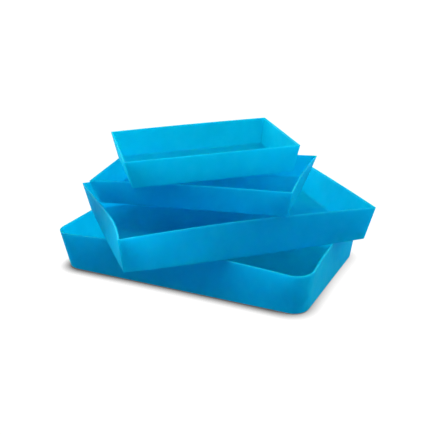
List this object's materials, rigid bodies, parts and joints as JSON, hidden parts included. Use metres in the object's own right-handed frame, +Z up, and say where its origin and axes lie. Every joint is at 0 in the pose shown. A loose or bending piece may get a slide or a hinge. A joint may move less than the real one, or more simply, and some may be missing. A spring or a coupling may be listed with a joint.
{
  "type": "silicone soap mould set",
  "caption": "Stack of open rectangular silicone slab moulds in graded sizes, set crosswise on each other's rims; each one lifts off the mould below.",
  "frame": {"origin": "centre of the deep mould's flat underside, on the surface that the stack stands on", "axes": "+Z up; +X along the deep mould's long side; -Y towards the side that faces forward"},
  "size_m": [0.3628, 0.362, 0.1543],
  "materials": {
    "blue_silicone": "satin sky-blue silicone that lets light glow through its thin walls"
  },
  "bodies": {
    "deep_slab": {"deep_slab_mould": "blue_silicone"},
    "wide_slab": {"wide_slab_mould": "blue_silicone"},
    "medium_slab": {"medium_slab_mould": "blue_silicone"},
    "small_slab": {"small_slab_mould": "blue_silicone"}
  },
  "joints": [
    {"name": "wide_slab_lift", "type": "slide", "parent": "deep_slab", "child": "wide_slab", "axis": [0, 0, 1], "range_m": [0, 0.1]},
    {"name": "medium_slab_lift", "type": "slide", "parent": "wide_slab", "child": "medium_slab", "axis": [0, 0, 1], "range_m": [0, 0.1]},
    {"name": "small_slab_lift", "type": "slide", "parent": "medium_slab", "child": "small_slab", "axis": [0, 0, 1], "range_m": [0, 0.1]}
  ]
}
